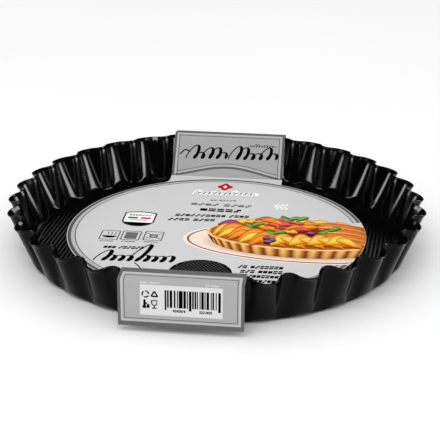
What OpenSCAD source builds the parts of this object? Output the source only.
// Fluted tart pan, 280 mm, pressed from one coated sheet, in the printed card sleeve it is sold in.
// The pan stands on z = 0 with its centre on the Z axis. The sleeve runs along Y, with its front
// at -Y: a disc lies in the pan, an inner panel rises from it at each end, a narrow strip crosses
// the rim, and an outer panel hangs from the strip outside the wall.

/* [Pan] */
// Diameter over the outer crests of the flutes, at the rim
rim_d = 280; // [260:1:300]
// Height of the outer crests above the ground
crest_h = 31; // [28:0.5:36]
// Diameter of the base, over its outer crests
base_d = 253.6; // [235:0.1:262]
// Number of flutes around the wall
flutes = 32; // [24:1:40]
// Radial depth of a flute at the rim
flute_depth_rim = 8.1; // [5:0.1:9]
// Radial depth of a flute where the wall meets the base
flute_depth_base = 1.3; // [0.5:0.1:3]
// Steepest turn of a flute's flank away from the rim's direction, in degrees
flank = 61; // [45:1:68]
// Share of a half flute that its wide outer arc takes; the tighter inner arc takes the rest
outer_arc_share = 0.62; // [0.4:0.01:0.7]
// Direction of one outer crest, in degrees from +X
flute_phase = 7.85; // [0:0.05:11.25]
// Thickness of the coated sheet
sheet = 0.9; // [0.6:0.05:1.2]
// Outer radius of the bend between base and wall
base_bend = 2.6; // [1.5:0.1:4]

/* [Sleeve] */
// Diameter of the printed disc
disc_d = 203; // [180:1:208]
// Height of the disc's underside above the ground
disc_z = 7.3; // [4:0.1:9]
// Flat card between the disc's edge and the crease of an inner panel
neck = 2.5; // [1:0.5:6]
// Width of the band at the front
front_w = 74; // [50:1:76]
// Width of the band at the rear
rear_w = 84; // [50:1:86]
// Sideways offset of the band from the middle of the disc
band_shift = -4.5; // [-4.5:0.5:4.5]
// How far the band widens, each side, where it runs into the disc
flare = 3; // [1:0.5:5]
// Distance from the middle of the pan to the crease where an inner panel meets its strip
inner_fold_y = 126; // [118:0.5:126.5]
// Slope of the front strip, down and outwards, in degrees
front_slope = 2; // [0:1:14]
// Slope of the rear strip, down and outwards, in degrees
rear_slope = 14; // [0:1:14]
// Thickness of the card
card = 0.5; // [0.3:0.05:0.6]
// Length of an outer panel, from its crease to its free edge
outer_panel_h = 29.5; // [15:0.5:30]
// Air between the card and the rim
rim_gap = 0.6; // [0.5:0.1:1]

/* [Hidden] */

coating = [0.11, 0.11, 0.12];
card_face = [0.80, 0.80, 0.80];
card_panel = [0.70, 0.70, 0.70];
card_border = [0.40, 0.40, 0.41];

// The wave of the flutes, made of arcs: half a flute is 1 across, and wave_depth deep
outer_arc_r = outer_arc_share / sin(flank);
inner_arc_r = (1 - outer_arc_share) / sin(flank);
wave_depth = (outer_arc_r + inner_arc_r) * (1 - cos(flank));
function arc_drop(r, x) = r - sqrt(r * r - x * x);

// The wall. Every line down it has the same slant length, because the sheet is a round blank
// before it is pressed, so the steeper inner crests end higher than the outer ones.
rim_r = rim_d / 2;
base_r = base_d / 2;
slant = norm([rim_r - base_r, crest_h]);
steps_per_flute = 12;
wall_steps = flutes * steps_per_flute;
bend_steps = 3;
wall_row = bend_steps + 1;
inner_crest_r = rim_r - flute_depth_rim;
inner_crest_h = wall_top(180 / flutes + flute_phase);

// How far the direction a is from an outer crest: 0 on it and 1 on an inner crest
function off_crest(a) = abs((flutes * (a - flute_phase) / 180 + 2 * flutes + 1) % 2 - 1);

// 1 on an outer crest and 0 on an inner one, at the direction a
function crest(a) =
    let (x = off_crest(a))
    1 - (x < outer_arc_share ? arc_drop(outer_arc_r, x)
        : wave_depth - arc_drop(inner_arc_r, 1 - x)) / wave_depth;
function rim_at(a) = rim_r - flute_depth_rim * (1 - crest(a));
function base_at(a) = base_r - flute_depth_base * (1 - crest(a));
function lean(a) = asin((rim_at(a) - base_at(a)) / slant);
function wall_top(a) = slant * cos(lean(a));

// A point [radius, height] of the outside: row 0 ends the flat base, the rows up to bend_steps
// go round the bend, and wall_row is the rim
function profile(a, row) =
    row > bend_steps ? [rim_at(a), wall_top(a)] :
    let (turn = row / bend_steps * (90 - lean(a)))
    [base_at(a) - base_bend * (cos(lean(a)) - sin(turn)), base_bend * (1 - cos(turn))];
function outside(a, row) =
    let (p = profile(a, row))
    [p[0] * cos(a), p[0] * sin(a), p[1]];

// The direction out of the sheet there, square to the bend and to the flute
function out_of_sheet(a, row) =
    let (
        e = 0.05,
        along = outside(a + e, row) - outside(a - e, row),
        turn = min(row / bend_steps, 1) * (90 - lean(a)),
        up = [cos(turn) * cos(a), cos(turn) * sin(a), sin(turn)],
        n = cross(along, row > bend_steps ? outside(a, row) - outside(a, row - 1) : up)
    )
    row == 0 ? [0, 0, -1] : n / norm(n);
function inside(a, row) = outside(a, row) - sheet * out_of_sheet(a, row);

// The sleeve, measured in the YZ plane from the middle out
disc_r = disc_d / 2;
crease_y = disc_r + neck;
outer_fold_y = rim_r + rim_gap;
swing_gap = 0.05;

// Height of a strip's underside at y: it passes just over the inner crests
function strip_z(y, slope) = inner_crest_h + rim_gap - (y - inner_crest_r) * tan(slope);

// Slope of an inner panel, up and outwards, in degrees
function rise(slope) = atan((strip_z(inner_fold_y, slope) - disc_z) / (inner_fold_y - crease_y));

// The point on top of the card where an inner panel and its strip meet in a mitre
function fold_top(slope) =
    let (
        panel_up = [-sin(rise(slope)), cos(rise(slope))],
        strip_up = [sin(slope), cos(slope)]
    )
    [inner_fold_y, strip_z(inner_fold_y, slope)]
        + card * (panel_up + strip_up) / (1 + panel_up * strip_up);

// The pan: one closed shell of sheet with a flat base
module pan() {
    da = 360 / wall_steps;
    ring = [for (i = [0 : wall_steps - 1]) i];
    outer_points = [for (row = [0 : wall_row]) for (i = ring) outside(i * da, row)];
    inner_points = [for (row = [0 : wall_row]) for (i = ring) inside(i * da, row)];
    first_inner = len(outer_points);
    outer_faces = [for (row = [0 : wall_row - 1]) for (i = ring) for (f = band(row, i, 0)) f];
    inner_faces = [for (row = [0 : wall_row - 1]) for (i = ring)
        for (f = band(row, i, first_inner)) [f[2], f[1], f[0]]];
    rim_faces = [for (i = ring)
        let (
            next = (i + 1) % wall_steps,
            a = wall_row * wall_steps + i,
            b = wall_row * wall_steps + next,
            c = first_inner + b,
            d = first_inner + a
        )
        for (f = [[a, d, c], [a, c, b]]) f];
    base_face = ring;
    floor_face = [for (i = ring) first_inner + wall_steps - 1 - i];
    color(coating)
        polyhedron(
            points = concat(outer_points, inner_points),
            faces = concat([base_face, floor_face], outer_faces, inner_faces, rim_faces),
            convexity = 6
        );
}

// The two triangles of the wall between row and row + 1 at step i
function band(row, i, first) =
    let (
        next = (i + 1) % wall_steps,
        a = first + row * wall_steps + i,
        b = first + row * wall_steps + next,
        c = b + wall_steps,
        d = a + wall_steps
    )
    [[a, c, b], [a, d, c]];

// A length of band of width w, whose section in the YZ plane is given
module panel(w, section) {
    translate([band_shift - w / 2, 0, 0])
        rotate([90, 0, 90])
            linear_extrude(w)
                polygon(section);
}

// An inner panel, from the crease at the disc up to the rim
module inner_panel(w, slope) {
    panel(w, [
        [crease_y, disc_z], [inner_fold_y, strip_z(inner_fold_y, slope)],
        fold_top(slope), [crease_y, disc_z + card / cos(rise(slope))]
    ]);
}

// A strip across the rim
module top_strip(w, slope) {
    outer_z = strip_z(outer_fold_y, slope);
    panel(w, [
        [inner_fold_y, strip_z(inner_fold_y, slope)], [outer_fold_y, outer_z],
        [outer_fold_y, outer_z + card / cos(slope)], fold_top(slope)
    ]);
}

// An outer panel, hanging from its strip's outer crease
module outer_panel(w, slope) {
    top = strip_z(outer_fold_y, slope) + card;
    translate([band_shift - w / 2, outer_fold_y + swing_gap, top - outer_panel_h])
        cube([w, card, outer_panel_h]);
}

// The outline of the rear neck, for a band of width w shifted sideways by shift: it runs from
// a little inside the disc's edge out to the crease
module neck_outline(w, shift) {
    foot = w / 2 + flare;
    root = sqrt(pow(disc_r, 2) - pow(foot + abs(shift), 2)) - 1;
    translate([shift, 0])
        polygon([
            [-foot, root], [foot, root], [w / 2, root + 2 * flare], [w / 2, crease_y],
            [-w / 2, crease_y], [-w / 2, root + 2 * flare]
        ]);
}

module sleeve_disc() {
    color(card_face)
        translate([0, 0, disc_z])
            linear_extrude(card)
                union() {
                    circle(r = disc_r, $fn = 180);
                    neck_outline(rear_w, band_shift);
                    rotate(180) neck_outline(front_w, -band_shift);
                }
}

module sleeve_rear_inner_panel() { color(card_panel) inner_panel(rear_w, rear_slope); }
module sleeve_rear_top_strip() { color(card_border) top_strip(rear_w, rear_slope); }
module sleeve_rear_outer_panel() { color(card_panel) outer_panel(rear_w, rear_slope); }
module sleeve_front_inner_panel() { color(card_panel) mirror([0, 1, 0]) inner_panel(front_w, front_slope); }
module sleeve_front_top_strip() { color(card_border) mirror([0, 1, 0]) top_strip(front_w, front_slope); }
module sleeve_front_outer_panel() { color(card_panel) mirror([0, 1, 0]) outer_panel(front_w, front_slope); }

pan();
sleeve_disc();
sleeve_front_inner_panel();
sleeve_front_top_strip();
sleeve_front_outer_panel();
sleeve_rear_inner_panel();
sleeve_rear_top_strip();
sleeve_rear_outer_panel();
